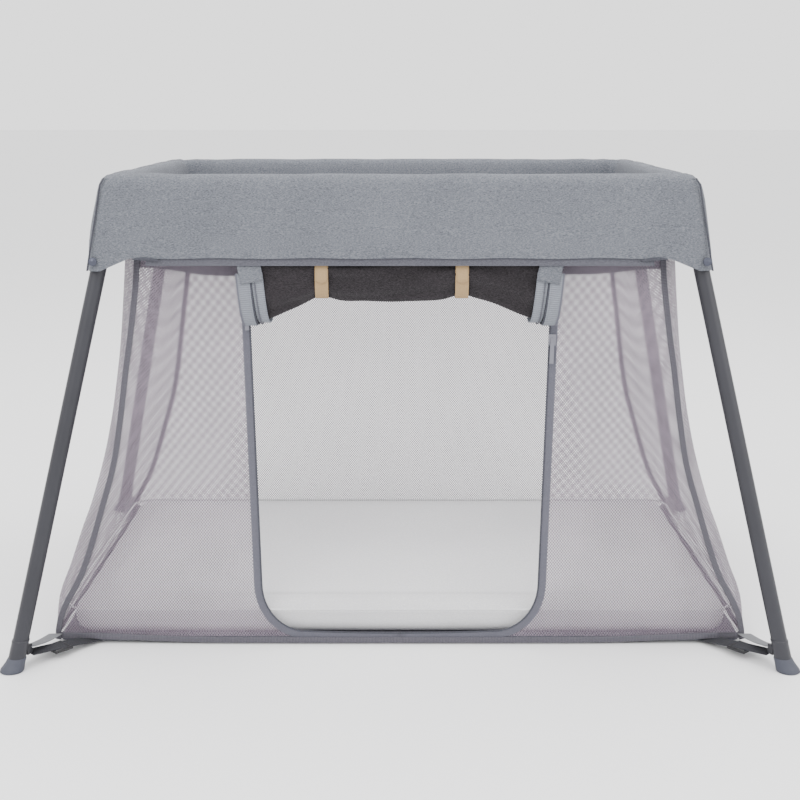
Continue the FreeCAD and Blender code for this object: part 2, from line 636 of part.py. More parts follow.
# ---------------------------------------------------------------- base
def base_floor():
    gap = FABRIC / 2 + SIDE_GAP
    x = END_CURVE[0][0] - gap - BASE_INSET
    y = wall_y(WALL_BOTTOM + BASE_THICK) - gap
    floor = box(-x, x, -y, y, WALL_BOTTOM, WALL_BOTTOM + BASE_THICK)
    return floor.cut(door_prism(-SIDE_GAP, DOOR_TOP).common(box(-600, 600, -wall_y(0) + 6, -400, 0, 700)))


def mattress():
    y = wall_y(MATTRESS_TOP) - MATTRESS_GAP
    pad = box(-MATTRESS_X, MATTRESS_X, -y, y, MATTRESS_Z, MATTRESS_TOP)
    corners = [e for e in pad.Edges if abs(e.tangentAt(e.FirstParameter).z) > 0.9]
    pad = pad.makeFillet(MATTRESS_CORNER, corners)
    rim = [e for e in pad.Edges if e.BoundBox.ZMin > MATTRESS_TOP - 1]
    return pad.makeFillet(8.0, rim)


# ---------------------------------------------------------------- assembly
def build():
    os.makedirs("parts", exist_ok=True)
    for sx, end in ((-1, "left"), (1, "right")):
        save(end + "_end_rail", end_rail(sx))
        save(end + "_end_pins", *end_pins(sx))
        save(end + "_end_cover", end_cover(sx))
        save(end + "_end_wall", end_wall(sx))
        save(end + "_flap_studs", *studs(sx))
        save("front_wall_" + end, front_wall(sx))
        save("zip_slider_" + end, zip_slider(sx))
        save("foot_straps_" + end, *[foot_strap(sx, sy) for sy in (-1, 1)])
        save("strap_buckles_" + end, *[strap_buckle(sx, sy) for sy in (-1, 1)])
        for sy in (-1, 1):
            name = side_names(sx, sy)
            save("hub_" + name, hub(sx, sy))
            save("rail_" + name, half_rail(sx, sy))
            save("rail_fittings_" + name, rail_tongue(sx, sy), centre_hinge(sx, sy))
            save("leg_" + name, leg_tube(sx, sy))
            save("leg_knuckle_" + name, leg_knuckle(sx, sy))
            save("foot_" + name, foot_boot(sx, sy))
            save("leg_button_" + name, leg_button(sx, sy))
            save("rail_cover_" + name, rail_cover(sx, sy))
    for sy, side in ((-1, "front"), (1, "rear")):
        save("centre_pin_" + side, centre_pin(sy))
        save("centre_button_" + side, centre_button(sy))
    save("rear_wall", rear_wall())
    save("zip_tape", zip_tape())
    save("door_roll", door_roll())
    save("door_ties", *door_ties())
    save("base_floor", base_floor())
    save("mattress", mattress())


build()
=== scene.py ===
import json
import math

import bmesh
import bpy
from mathutils import Matrix, Vector, noise


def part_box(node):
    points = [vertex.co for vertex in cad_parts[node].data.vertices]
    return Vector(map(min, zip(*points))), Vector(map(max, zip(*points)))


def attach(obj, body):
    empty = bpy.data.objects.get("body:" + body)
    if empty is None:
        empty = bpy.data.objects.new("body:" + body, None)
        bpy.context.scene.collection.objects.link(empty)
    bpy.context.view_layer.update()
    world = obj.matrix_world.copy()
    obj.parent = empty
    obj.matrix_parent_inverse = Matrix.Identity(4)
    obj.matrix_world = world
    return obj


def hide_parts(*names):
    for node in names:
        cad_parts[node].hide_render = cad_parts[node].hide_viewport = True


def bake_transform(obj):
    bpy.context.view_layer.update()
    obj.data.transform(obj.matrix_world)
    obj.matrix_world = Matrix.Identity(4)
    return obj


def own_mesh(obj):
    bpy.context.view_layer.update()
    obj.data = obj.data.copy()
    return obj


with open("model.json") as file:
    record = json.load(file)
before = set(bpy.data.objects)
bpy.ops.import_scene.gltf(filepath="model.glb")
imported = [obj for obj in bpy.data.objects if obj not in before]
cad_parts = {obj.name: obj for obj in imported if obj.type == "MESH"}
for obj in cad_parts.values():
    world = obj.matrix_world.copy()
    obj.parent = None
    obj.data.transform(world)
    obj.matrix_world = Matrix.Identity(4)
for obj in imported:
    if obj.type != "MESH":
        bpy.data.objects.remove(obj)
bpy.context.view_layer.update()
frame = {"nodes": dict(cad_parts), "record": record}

# Folding travel playpen. Metres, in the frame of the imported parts:
# X along the long sides, Y from the door side (front) to the rear, Z up.
ENDS = (("left", -1), ("right", 1))
SIDES = (("front", -1), ("rear", 1))

# ------------------------------------------------------------ sizes from the frame
FOLD_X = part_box("rail_cover_front_right")[1].x      # where a long cover meets an end cover
WALL_LOW, WALL_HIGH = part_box("rear_wall")[0].z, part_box("rear_wall")[1].z
MAT_LOW, MAT_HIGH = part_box("mattress")
TIES_LOW, TIES_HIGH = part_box("door_ties")

COVER_HEM = 0.5725          # lower edge of the padded covers
BINDING_LOW = 0.562         # lower edge of the strip under them
FLAP_LOW = 0.5545           # lower edge of the corner flaps
INNER_HEM = 0.5435          # lower edge of the covers on the inside
FABRIC = 0.0022             # thickness of the cover cloth
TIE_WIDTH = 0.019


def smooth(a, b, t):
    """A gentle step from 0 at a to 1 at b."""
    s = min(1.0, max(0.0, (t - a) / (b - a)))
    return s * s * (3 - 2 * s)


def between(pairs, t):
    """A smooth curve through (position, value) pairs that rise in position."""
    if t <= pairs[0][0]:
        return pairs[0][1]
    for k in range(len(pairs) - 1):
        (x0, y0), (x1, y1) = pairs[k], pairs[k + 1]
        if t <= x1:
            before = pairs[k - 1] if k else pairs[k]
            after = pairs[k + 2] if k + 2 < len(pairs) else pairs[k + 1]
            m0 = (y1 - before[1]) / (x1 - before[0])
            m1 = (after[1] - y0) / (after[0] - x0)
            h, s = x1 - x0, (t - x0) / (x1 - x0)
            return ((2 * s ** 3 - 3 * s ** 2 + 1) * y0 + (s ** 3 - 2 * s ** 2 + s) * h * m0
                    + (3 * s ** 2 - 2 * s ** 3) * y1 + (s ** 3 - s ** 2) * h * m1)
    return pairs[-1][1]


# Half length of the walls against height, at their corner seams and where the end walls bulge most.
SEAM_LINE = ((0.004, 0.5085), (0.032, 0.5056), (0.060, 0.4955), (0.103, 0.4720), (0.155, 0.4530),
             (0.204, 0.4378), (0.267, 0.4190), (0.331, 0.4074), (0.404, 0.3970), (0.476, 0.3860),
             (0.559, 0.3765), (0.690, 0.3745))
BULGE_LINE = ((0.004, 0.5170), (0.053, 0.5215), (0.093, 0.5075), (0.152, 0.4870), (0.195, 0.4700),
              (0.264, 0.4490), (0.330, 0.4335), (0.380, 0.4250), (0.440, 0.4170), (0.560, 0.4080),
              (0.690, 0.3980))
LINING_X = 0.3775


def seam_x(z):
    return between(SEAM_LINE, z)


def bulge_x(z):
    return between(BULGE_LINE, z)


def wall_y(z):
    return 0.255 + 0.0662 * (0.5586 - z)


def cover_x(z):
    return 0.421 + 0.168 * (0.678 - z)


def cover_y(z):
    return 0.285 + 0.133 * (0.678 - z)


# ------------------------------------------------------------ shader helpers
class Wire:
    """A number that comes out of a node, and can be added, multiplied and so on."""

    def __init__(self, finish, socket):
        self.finish = finish
        self.socket = socket

    def math(self, operation, *values):
        return self.finish.node("Math", {"operation": operation}, values)

    def __add__(self, other):
        return self.math("ADD", self, other)

    def __sub__(self, other):
        return self.math("SUBTRACT", self, other)

    def __mul__(self, other):
        return self.math("MULTIPLY", self, other)

    def sine(self):
        return self.math("SINE", self)

    __radd__ = __add__
    __rmul__ = __mul__


class Finish:
    """A material in the making."""

    def __init__(self, name, color, roughness, **constants):
        self.material = bpy.data.materials.new(name)
        self.material.use_nodes = True
        self.tree = self.material.node_tree
        self.shader = self.tree.nodes["Principled BSDF"]
        self.shader.inputs["Base Color"].default_value = (*color, 1)
        self.shader.inputs["Roughness"].default_value = roughness
        for key, value in constants.items():
            self.shader.inputs[key.replace("_", " ")].default_value = value

    def node(self, kind, settings, values, out=0):
        """Any node: its settings first, then its sockets by number or by name."""
        node = self.tree.nodes.new("ShaderNode" + kind)
        for key, value in settings.items():
            setattr(node, key, value)
        pairs = values.items() if isinstance(values, dict) else enumerate(values)
        for key, value in pairs:
            if isinstance(value, Wire):
                self.tree.links.new(value.socket, node.inputs[key])
            else:
                node.inputs[key].default_value = value
        return Wire(self, node.outputs[out])

    def place(self, turn=(0, 0, 0), stretch=(1, 1, 1), uv=False):
        spot = self.node("TexCoord", {}, {}, "UV" if uv else "Object")
        return self.node("Mapping", {}, {"Vector": spot, "Rotation": turn, "Scale": stretch})

    def axis(self, place, name):
        return self.node("SeparateXYZ", {}, [place], name)

    def grain(self, place, scale, detail=2.0):
        return self.node("TexNoise", {}, {"Vector": place, "Scale": scale, "Detail": detail})

    def tint(self, amount, first, second):
        """A colour that goes from first to second with amount."""
        values = {"Factor": amount}
        mix = self.node("Mix", {"data_type": "RGBA"}, values, 2)
        node = mix.socket.node
        for index, colour in ((6, first), (7, second)):
            if isinstance(colour, Wire):
                self.tree.links.new(colour.socket, node.inputs[index])
            else:
                node.inputs[index].default_value = (*colour, 1)
        return mix

    def spread(self, value, low, high):
        """value stretched so that low gives 0 and high gives 1."""
        return self.node("MapRange", {"clamp": True}, {"Value": value, "From Min": low, "From Max": high})

    def feed(self, name, wire):
        self.tree.links.new(wire.socket, self.shader.inputs[name])

    def bump(self, height, depth, strength=1.0):
        values = {"Strength": strength, "Distance": depth, "Height": height}
        self.feed("Normal", self.node("Bump", {}, values))


def woven(name, light, dark, thread, depth, roughness=0.9, marl=0.55, sheen=0.06):
    """Woven cloth: crossing yarns, marled colour and a slow change of tone."""
    f = Finish(name, light, roughness, Sheen_Weight=sheen, Sheen_Roughness=0.5, Specular_IOR_Level=0.2)
    spot = f.place()
    turn = 2 * math.pi / thread
    warp = (f.axis(spot, "X") + f.axis(spot, "Y")) * turn
    weft = f.axis(spot, "Z") * turn
    crossing = warp.sine() * weft.sine()
    yarn = f.grain(f.place(stretch=(1, 1, 2.0)), 800.0, 2.0)
    fleck = f.grain(f.place(stretch=(1, 1, 4.0)), 330.0, 3.0)
    tone = f.grain(spot, 7.0, 2.0)
    amount = f.spread(yarn * 0.4 + fleck * marl + tone * 0.12, 0.43, 0.63)
    f.feed("Base Color", f.tint(amount, dark, light))
    f.bump(crossing * 0.5 + yarn * 0.6, depth)
    return f.material


def moulded(name, color, roughness=0.45, grain=420.0, depth=0.00012):
    """Moulded plastic with a fine texture and slightly rubbed high spots."""
    f = Finish(name, color, roughness, Specular_IOR_Level=0.3)
    spot = f.place()
    fine = f.grain(spot, grain, 2.0)
    wide = f.grain(spot, 14.0, 3.0)
    brighter = tuple(min(1.0, c * 1.35 + 0.01) for c in color)
    f.feed("Base Color", f.tint(f.spread(wide, 0.35, 0.75), color, brighter))
    f.feed("Roughness", f.spread(wide, 0.0, 1.0) * 0.18 + (roughness - 0.06))
    f.bump(fine, depth)
    return f.material


def net(name, light, dark, pitch, hole, thread):
    """Knitted net: holes in staggered rows, so that the threads run on the slant. Its map is in metres."""
    f = Finish(name, light, 0.8, Sheen_Weight=0.05, Specular_IOR_Level=0.2)
    spot = f.place(uv=True)
    u = (f.axis(spot, "X") * (2 * math.pi / pitch)).sine()
    v = (f.axis(spot, "Y") * (2 * math.pi / pitch * 0.80)).sine()
    holes = u * v
    cloudy = f.grain(spot, 9.0, 2.0)
    open_part = f.spread(holes, -0.30, 0.40)
    f.feed("Base Color", f.tint(f.spread(cloudy, 0.3, 0.7), dark, light))
    f.feed("Alpha", open_part * (hole - thread) + thread)
    f.bump(holes, 0.0003)
    f.material.surface_render_method = "DITHERED"
    return f.material


def ribbed(name, light, dark, pitch, depth, roughness=0.75):
    """Webbing or zip tape: fine ribs across its length, on the piece's own map in metres."""
    f = Finish(name, light, roughness, Sheen_Weight=0.05, Specular_IOR_Level=0.2)
    spot = f.place(uv=True)
    ribs = (f.axis(spot, "X") * (2 * math.pi / pitch)).sine()
    lines = (f.axis(spot, "Y") * (2 * math.pi / (pitch * 1.4))).sine()
    grainy = f.grain(f.place(), 600.0, 2.0)
    amount = f.spread(ribs * 0.25 + lines * 0.12 + grainy * 0.8, 0.1, 0.8)
    f.feed("Base Color", f.tint(amount, dark, light))
    f.bump(ribs * 0.6 + lines * 0.3 + grainy * 0.2, depth)
    return f.material


def coated_tube(name, color):
    """Powder-coated tube: satin, with a faint orange-peel surface."""
    f = Finish(name, color, 0.42, Coat_Weight=0.03, Coat_Roughness=0.35, Specular_IOR_Level=0.3)
    spot = f.place()
    peel = f.grain(spot, 260.0, 2.0)
    wide = f.grain(spot, 11.0, 3.0)
    f.feed("Base Color", f.tint(f.spread(wide, 0.3, 0.8), color, tuple(c * 1.25 for c in color)))
    f.feed("Roughness", f.spread(wide, 0.0, 1.0) * 0.14 + 0.34)
    f.bump(peel, 0.0001, 0.6)
    return f.material


def bare_metal(name, color, roughness):
    f = Finish(name, color, roughness, Metallic=1.0)
    streaks = f.grain(f.place(stretch=(1, 1, 14)), 180.0, 2.0)
    f.feed("Roughness", f.spread(streaks, 0.2, 0.8) * 0.2 + (roughness - 0.08))
    f.bump(streaks, 0.00005)
    return f.material


finishes = {
    "frame_tube": coated_tube("charcoal_powder_coat", (0.023, 0.023, 0.028)),
    "moulding": moulded("black_nylon", (0.022, 0.022, 0.026), 0.5),
    "foot_plastic": moulded("blue_grey_boot", (0.042, 0.045, 0.060), 0.55),
    "steel": bare_metal("plain_steel", (0.55, 0.55, 0.57), 0.35),
    "cover_fabric": woven("heather_cover_cloth", (0.190, 0.200, 0.224), (0.078, 0.084, 0.101),
                          0.0011, 0.0004),
    "mesh": net("mauve_net", (0.245, 0.203, 0.250), (0.168, 0.137, 0.173), 0.0040, 0.08, 0.92),
    "zip": ribbed("zip_tape_cloth", (0.140, 0.140, 0.171), (0.083, 0.083, 0.103), 0.0016, 0.0003),
    "slider_metal": bare_metal("enamelled_slider", (0.20, 0.20, 0.23), 0.42),
    "tie_webbing": ribbed("beige_tie_tape", (0.400, 0.275, 0.145), (0.290, 0.195, 0.100), 0.0013, 0.0003),
    "strap_webbing": ribbed("strap_webbing_cloth", (0.034, 0.035, 0.042), (0.018, 0.018, 0.023),
                            0.0018, 0.0004),
    "buckle_plastic": moulded("black_buckle", (0.012, 0.012, 0.014), 0.35),
    "stud_metal": bare_metal("enamelled_stud", (0.075, 0.079, 0.102), 0.38),
    "mattress_fabric": woven("pale_mattress_cloth", (0.800, 0.795, 0.800), (0.640, 0.635, 0.650),
                             0.0016, 0.0004, 0.85, 0.4, 0.1),
    "base_fabric": woven("dark_base_cloth", (0.120, 0.120, 0.145), (0.070, 0.070, 0.088), 0.0009, 0.0002),
}
finishes["end_net"] = net("mauve_end_net", (0.205, 0.168, 0.210), (0.140, 0.113, 0.145), 0.0040, 0.30, 0.95)
finishes["roll_net"] = woven("rolled_net_cloth", (0.034, 0.029, 0.033), (0.009, 0.008, 0.009), 0.0026, 0.0009)
finishes["trim"] = woven("grey_binding_cloth", (0.112, 0.112, 0.133), (0.068, 0.068, 0.083), 0.0009, 0.0003)
finishes["cuff_tape"] = ribbed("pale_zip_tape", (0.215, 0.229, 0.258), (0.140, 0.150, 0.174), 0.0030, 0.0005)
finishes["pale_strap"] = ribbed("pale_strap_webbing", (0.220, 0.224, 0.236), (0.140, 0.143, 0.154),
                                0.0018, 0.0004)
finishes["seam_tape"] = ribbed("seam_binding_tape", (0.115, 0.110, 0.130), (0.060, 0.057, 0.070),
                               0.0022, 0.0004)
# This dark cloth is real on the piping and zip teeth, and is also painted shade in the open ends of the hem
# casings.
finishes["piping"] = woven("dark_piping_cloth_and_slot_shade", (0.070, 0.072, 0.088), (0.035, 0.036, 0.045), 0.0008, 0.0002)


# ------------------------------------------------------------ mesh helpers
def add_piece(name, bm, finish, body=None, slot=None, flat=False):
    """Turns a bmesh into a piece with a finish, riding on a body."""
    mesh = bpy.data.meshes.new(name)
    bmesh.ops.recalc_face_normals(bm, faces=bm.faces)
    if not flat:
        for face in bm.faces:
            face.smooth = True
    bm.to_mesh(mesh)
    bm.free()
    mesh.materials.append(finishes[finish])
    piece = bpy.data.objects.new(name, mesh)
    bpy.context.scene.collection.objects.link(piece)
    slot or finish
    if body:
        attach(piece, body)
    return piece


def settle(piece):
    """Applies the piece's modifiers."""
    bpy.context.view_layer.update()
    shaped = piece.evaluated_get(bpy.context.evaluated_depsgraph_get())
    piece.data = bpy.data.meshes.new_from_object(shaped)
    piece.modifiers.clear()
    for polygon in piece.data.polygons:
        polygon.use_smooth = True


def thicken(piece, thickness, offset=-1.0):
    wall = piece.modifiers.new("cloth", "SOLIDIFY")
    wall.thickness = thickness
    wall.offset = offset
    settle(piece)
    piece.data.set_sharp_from_angle(angle=math.radians(50))


def round_edges(piece, width, segments=2):
    edge = piece.modifiers.new("edge", "BEVEL")
    edge.width = width
    edge.segments = segments
    edge.limit_method = "ANGLE"
    settle(piece)


def loft(bm, rings, closed=True, caps=False, around=True):
    """Bridges one ring of points to the next. Rings of a closed section also close round."""
    layer = bm.loops.layers.uv.verify()
    loops = []
    for ring in rings:
        verts = [bm.verts.new(point) for point in ring]
        count = len(verts)
        last = count if around else count - 1
        loops.append([bm.edges.new((verts[k], verts[(k + 1) % count])) for k in range(last)])
    pairs = list(zip(loops, loops[1:]))
    if closed:
        pairs.append((loops[-1], loops[0]))
    for first, second in pairs:
        bmesh.ops.bridge_loops(bm, edges=first + second)
    if caps:
        bmesh.ops.holes_fill(bm, edges=loops[0] + loops[-1])
    return layer


def oval(width, height, count=12, power=1.0):
    """Points of a rounded section, width by height."""
    points = []
    for k in range(count):
        a = 2 * math.pi * (k + 0.5) / count
        c, s = math.cos(a), math.sin(a)
        points.append((math.copysign(abs(c) ** power, c) * width / 2,
                       math.copysign(abs(s) ** power, s) * height / 2))
    return points


def sweep(bm, path, facing, section, closed=False):
    """Carries a section along a path. Its second direction points as facing says."""
    count = len(path)
    rings = []
    run = [0.0]
    for k in range(1, count):
        run.append(run[-1] + (path[k] - path[k - 1]).length)
    for k, point in enumerate(path):
        before = path[(k - 1) % count] if closed or k else path[k]
        after = path[(k + 1) % count] if closed or k < count - 1 else path[k]
        along = (after - before).normalized()
        face = facing(point) if callable(facing) else Vector(facing)
        side = along.cross(face).normalized()
        out = side.cross(along).normalized()
        shape = section(run[k] / run[-1]) if callable(section) else section
        rings.append([point + side * a + out * b for a, b in shape])
    first = len(bm.faces)
    layer = loft(bm, rings, closed=closed, caps=not closed)
    bm.faces.ensure_lookup_table()
    for face in bm.faces[first:]:
        for loop in face.loops:
            spot = loop.vert.co
            nearest = min(range(count), key=lambda k: (path[k] - spot).length_squared)
            loop[layer].uv = (run[nearest], (spot - path[nearest]).length)
    return bm


def band(name, path, facing, width, thickness, finish, body=None, closed=False, slot=None, power=0.35):
    """A flat strip of tape along a path."""
    bm = bmesh.new()
    sweep(bm, path, facing, oval(width, thickness, 12, power), closed)
    return add_piece(name, bm, finish, body, slot)


def sheet_grid(bm, columns, rows, place):
    """A grid of cloth: place(u, v) gives each point, for u and v from 0 to 1. Its map is in metres."""
    layer = bm.loops.layers.uv.verify()
    made = bmesh.ops.create_grid(bm, x_segments=columns, y_segments=rows, size=0.5)
    spots = {vert: (vert.co.x + 0.5, vert.co.y + 0.5) for vert in made["verts"]}
    for vert, (u, v) in spots.items():
        vert.co = place(u, v)
    for face in bm.faces:
        for loop in face.loops:
            point = loop.vert.co
            across = point.y if abs(face.normal.x) > 0.7 else point.x
            loop[layer].uv = (across, point.z)
    return bm


def crumple(point, size, amount):
    """A soft unevenness of cloth, the same for every piece that meets at a point."""
    return (noise.noise(Vector(point) * size) * 0.7 + noise.noise(Vector(point) * size * 2.3) * 0.3) * amount


def squash_with_frame(piece):
    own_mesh(piece)


# ------------------------------------------------------------ rail covers
def squash_on_floor(piece):
    """Gives a piece of the base, or of what lies on it, its own copy of its mesh."""
    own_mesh(piece)


def ring_line(half_x, half_y, radius, height):
    """A closed line of points round the rim, with rounded corners. height(x, y) gives z."""
    points = []
    corners = ((1, -1, -90), (1, 1, 0), (-1, 1, 90), (-1, -1, 180))
    for index, (sx, sy, start) in enumerate(corners):
        centre = Vector((sx * (half_x - radius), sy * (half_y - radius), 0))
        for k in range(9):
            a = math.radians(start + k * 90 / 8)
            points.append(centre + Vector((math.cos(a), math.sin(a), 0)) * radius)
        nx, ny, _ = corners[(index + 1) % 4]
        a = math.radians(start + 90)
        begin = points[-1]
        end = (Vector((nx * (half_x - radius), ny * (half_y - radius), 0))
               + Vector((math.cos(a), math.sin(a), 0)) * radius)
        steps = 40 if sy == ny else 30
        for k in range(1, steps):
            points.append(begin.lerp(end, k / steps))
    return [Vector((p.x, p.y, height(p.x, p.y))) for p in points]


def flap(x, y):
    """1 on the corner flaps, 0 elsewhere."""
    return smooth(0.372, 0.420, abs(x)) * smooth(0.255, 0.276, abs(y))


def cover_levels():
    """Lines round the rim from the outer hem, over the rail and down to the inner hem."""
    lines = []
    for k in range(9):
        t = k / 8

        def skirt(x, y, t=t):
            low = (COVER_HEM + (FLAP_LOW - COVER_HEM) * flap(x, y)
                   + 0.0007 * math.sin(x * 47 + 1) * math.sin(y * 23 + 2))
            return low + (0.664 - low) * t

        z = COVER_HEM + (0.664 - COVER_HEM) * t
        puff = 0.0022 * math.sin(math.pi * t) - 0.001 * (1 - t)
        lines.append((cover_x(z) + puff, cover_y(z) + puff, 0.020, skirt))
    for z, inset in ((0.673, 0.0012), (0.680, 0.0052), (0.6845, 0.0115), (0.6862, 0.0195)):
        lines.append((cover_x(0.670) - inset, cover_y(0.670) - inset, 0.021, lambda x, y, z=z: z))
    inner_y = wall_y(0.668) - 0.0052
    for z, inset in ((0.6864, 0.0135), (0.6850, 0.0062), (0.6800, 0.0016), (0.6700, 0.0)):
        lines.append((LINING_X + inset, inner_y + inset, 0.012, lambda x, y, z=z: z))
    for k in range(1, 7):
        t = k / 6

        def lining(x, y, t=t):
            low = INNER_HEM + 0.010 * smooth(0.26, 0.37, abs(x)) + 0.0010 * math.sin(x * 31)
            return 0.670 + (low - 0.670) * t

        lines.append((LINING_X, wall_y(0.670 - 0.125 * t) - 0.0052, 0.012, lining))
    return [ring_line(*line) for line in lines]


def uneven(point):
    """Padding that is not quite even, with a few drags in the cloth near the corners."""
    near_corner = smooth(0.28, 0.40, abs(point.x)) * smooth(0.18, 0.26, abs(point.y))
    lumps = crumple(point, 9.0, 0.0020) + 0.0006
    drags = noise.noise(Vector((point.x * 60, point.y * 60, point.z * 14))) * 0.0016 * near_corner
    inside = (near_corner * (1 - smooth(0.2600, 0.2680, abs(point.y)))
              * (1 - smooth(0.3860, 0.3960, abs(point.x))))
    drags += noise.noise(Vector((point.x * 75, point.y * 75, point.z * 9 + 4))) * 0.0042 * inside
    fine = noise.noise(Vector((point.x * 34, point.y * 34, point.z * 80))) * 0.0006
    return lumps + drags + fine


def rim_mesh(rings):
    bm = bmesh.new()
    loft(bm, rings, closed=False)
    bmesh.ops.recalc_face_normals(bm, faces=bm.faces)
    bm.normal_update()
    moves = [(vert, vert.normal * uneven(vert.co)) for vert in bm.verts]
    for vert, move in moves:
        vert.co += move
    return bm


def cut_rim(bm, keep_end=None, keep_side=None):
    """The part of a rim mesh over one end, or over one long side."""
    part = bm.copy()

    def cut(at, normal):
        parts = part.verts[:] + part.edges[:] + part.faces[:]
        bmesh.ops.bisect_plane(part, geom=parts, plane_co=at, plane_no=normal, clear_outer=True)

    if keep_end:
        cut((keep_end * FOLD_X, 0, 0), (-keep_end, 0, 0))
    else:
        cut((FOLD_X, 0, 0), (1, 0, 0))
        cut((-FOLD_X, 0, 0), (-1, 0, 0))
        cut((0, 0, 0), (0, -keep_side, 0))
    return part


def lift_with_leg(piece):
    """Gives a piece over an end its own copy of its mesh."""
    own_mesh(piece)


def rim_pieces(name, rings, finish, thickness, replace):
    """Splits a rim into two end pieces, each on its end's body, and two long pieces."""
    whole = rim_mesh(rings)
    made = []
    for end, sx in ENDS:
        piece = add_piece(f"{end}_{name}", cut_rim(whole, keep_end=sx), finish, None, "cover_fabric")
        thicken(piece, thickness)
        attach(piece, end + "_end")
        if replace:
            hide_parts(end + "_end_cover")
        lift_with_leg(piece)
        made.append(piece)
    for side, sy in SIDES:
        piece = add_piece(f"{side}_{name}", cut_rim(whole, keep_side=sy), finish, None, "cover_fabric")
        thicken(piece, thickness)
        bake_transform(piece)
        if replace:
            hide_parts(f"rail_cover_{side}_left", f"rail_cover_{side}_right")
        made.append(piece)
    whole.free()
    return made


covers = rim_pieces("rail_cover", cover_levels(), "cover_fabric", FABRIC, True)


def binding_levels():
    """The strip that shows under the outer hem."""
    lines = []
    for k in range(5):
        z = COVER_HEM + 0.004 + (BINDING_LOW - COVER_HEM - 0.004) * k / 4
        lines.append((cover_x(z) - 0.0042, cover_y(z) - 0.0042, 0.019, lambda x, y, z=z: z))
    return [ring_line(*line) for line in lines]


def binding(name, inside, body, other=None):
    """One side of the strip, which stops short of the corners."""
    whole = rim_mesh(binding_levels())
    away = [vert for vert in whole.verts if not inside(vert.co)]
    bmesh.ops.delete(whole, geom=away, context="VERTS")
    piece = add_piece(name, whole, "trim", None, "cover_fabric")
    thicken(piece, 0.0015)
    if other:
        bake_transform(piece)
    else:
        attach(piece, body)
        lift_with_leg(piece)


for side, sy in SIDES:
    binding(side + "_binding", lambda p, sy=sy: sy * p.y > 0.2 and abs(p.x) < 0.372,
            side + "_left_rail", side + "_right_rail")
for end, sx in ENDS:
    binding(end + "_end_binding", lambda p, sx=sx: sx * p.x > 0.38 and abs(p.y) < 0.245, end + "_end")


def corner_piping(end, sx, side, sy):
    """Piping sewn down the corner of the covers."""
    path = []
    for k in range(13):
        z = FLAP_LOW + 0.001 + (0.672 - FLAP_LOW) * k / 12
        point = Vector((sx * (cover_x(z) - 0.0065), sy * (cover_y(z) - 0.0008), z))
        path.append(point + Vector((0, sy, 0)) * uneven(point))
    path.append(Vector((sx * (cover_x(0.680) - 0.010), sy * (cover_y(0.680) - 0.0055), 0.6815)))
    piece = band(f"{side}_{end}_corner_piping", path, (0, sy, 0), 0.0026, 0.0026, "piping",
                 end + "_end", False, "cover_fabric", 1.0)
    lift_with_leg(piece)


for end, sx in ENDS:
    for side, sy in SIDES:
        corner_piping(end, sx, side, sy)


def hem_slot_shadow(end, sx, side, sy):
    """Painted shade in the open end of the casing in the hem, beside a corner flap: a thin dark strip laid on
    the cloth.
    """
    path = []
    for k in range(9):
        t = k / 8
        x = 0.334 + 0.038 * t
        z = COVER_HEM - 0.0010 - 0.0022 * (1 - t) + 0.0015 * math.sin(math.pi * t)
        path.append(Vector((sx * x, sy * (cover_y(z) + 0.0006), z)))

    def slit(t):
        return oval(0.0008 + 0.0040 * math.sin(math.pi * min(1.0, 0.08 + 0.84 * t)), 0.0012, 10, 0.8)

    bm = bmesh.new()
    sweep(bm, path, (0, sy, 0), slit)
    # The dark piping cloth on this strip is painted shade for the opening, not a cloth of its own.
    add_piece(f"{side}_{end}_hem_slot_shadow", bm, "piping", f"{side}_{end}_rail", "cover_fabric")


for end, sx in ENDS:
    for side, sy in SIDES:
        hem_slot_shadow(end, sx, side, sy)


def stud(bm, centre, out):
    """A domed press stud: a profile spun about its axis."""
    profile = ((0.0, 0.0026), (0.0026, 0.0024), (0.0036, 0.0017), (0.0044, 0.0019), (0.0056, 0.0017),
               (0.0061, 0.0008), (0.0061, 0.0))
    up = Vector(out).normalized()
    side = up.cross(Vector((1, 0, 0))).normalized()
    verts = [bm.verts.new(centre + side * r + up * h) for r, h in profile]
    edges = [bm.edges.new(pair) for pair in zip(verts, verts[1:])]
    bmesh.ops.spin(bm, geom=verts + edges, cent=centre, axis=up, angle=2 * math.pi, steps=24, use_merge=True)
    bmesh.ops.remove_doubles(bm, verts=bm.verts, dist=1e-6)


for end, sx in ENDS:
    bm = bmesh.new()
    for side, sy in SIDES:
        low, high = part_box(end + "_flap_studs")
        z = (low.z + high.z) / 2
        x = (low.x + high.x) / 2
        stud(bm, Vector((x, sy * (cover_y(z) + 0.0006), z)), (0, sy, 0.133))
    studs = add_piece(end + "_studs", bm, "stud_metal", end + "_end")
    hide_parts(end + "_flap_studs")
    lift_with_leg(studs)


# ------------------------------------------------------------ mesh walls
DOOR_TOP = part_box("zip_tape")[1].z
DOOR_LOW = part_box("zip_tape")[0].z
DOOR_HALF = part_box("zip_tape")[1].x
DOOR_CORNER = 0.080         # height of the door's round lower corners
DOOR_TAPER = 0.014 / 0.483  # how much each side leans in, over its height
TAPE = 0.009


def door_x(z):
    """Half width of the door opening at a height."""
    straight = DOOR_HALF - DOOR_TAPER * (DOOR_TOP - z)
    low = DOOR_LOW + DOOR_CORNER
    if z >= low:
        return straight
    drop = min(1.0, (low - z) / DOOR_CORNER)
    return straight - 0.072 * (1 - math.sqrt(max(0.0, 1 - drop * drop)))


def front_half(sx):
    bm = bmesh.new()

    def place(u, v):
        z = DOOR_LOW + (WALL_HIGH - DOOR_LOW) * v ** 1.35
        x = door_x(z) + (seam_x(z) - door_x(z)) * u
        pull = 0.0016 * math.sin(math.pi * u) * math.sin(math.pi * min(1.0, v * 1.1))
        return Vector((sx * x, -(wall_y(z) - pull), z))

    return sheet_grid(bm, 24, 60, place)


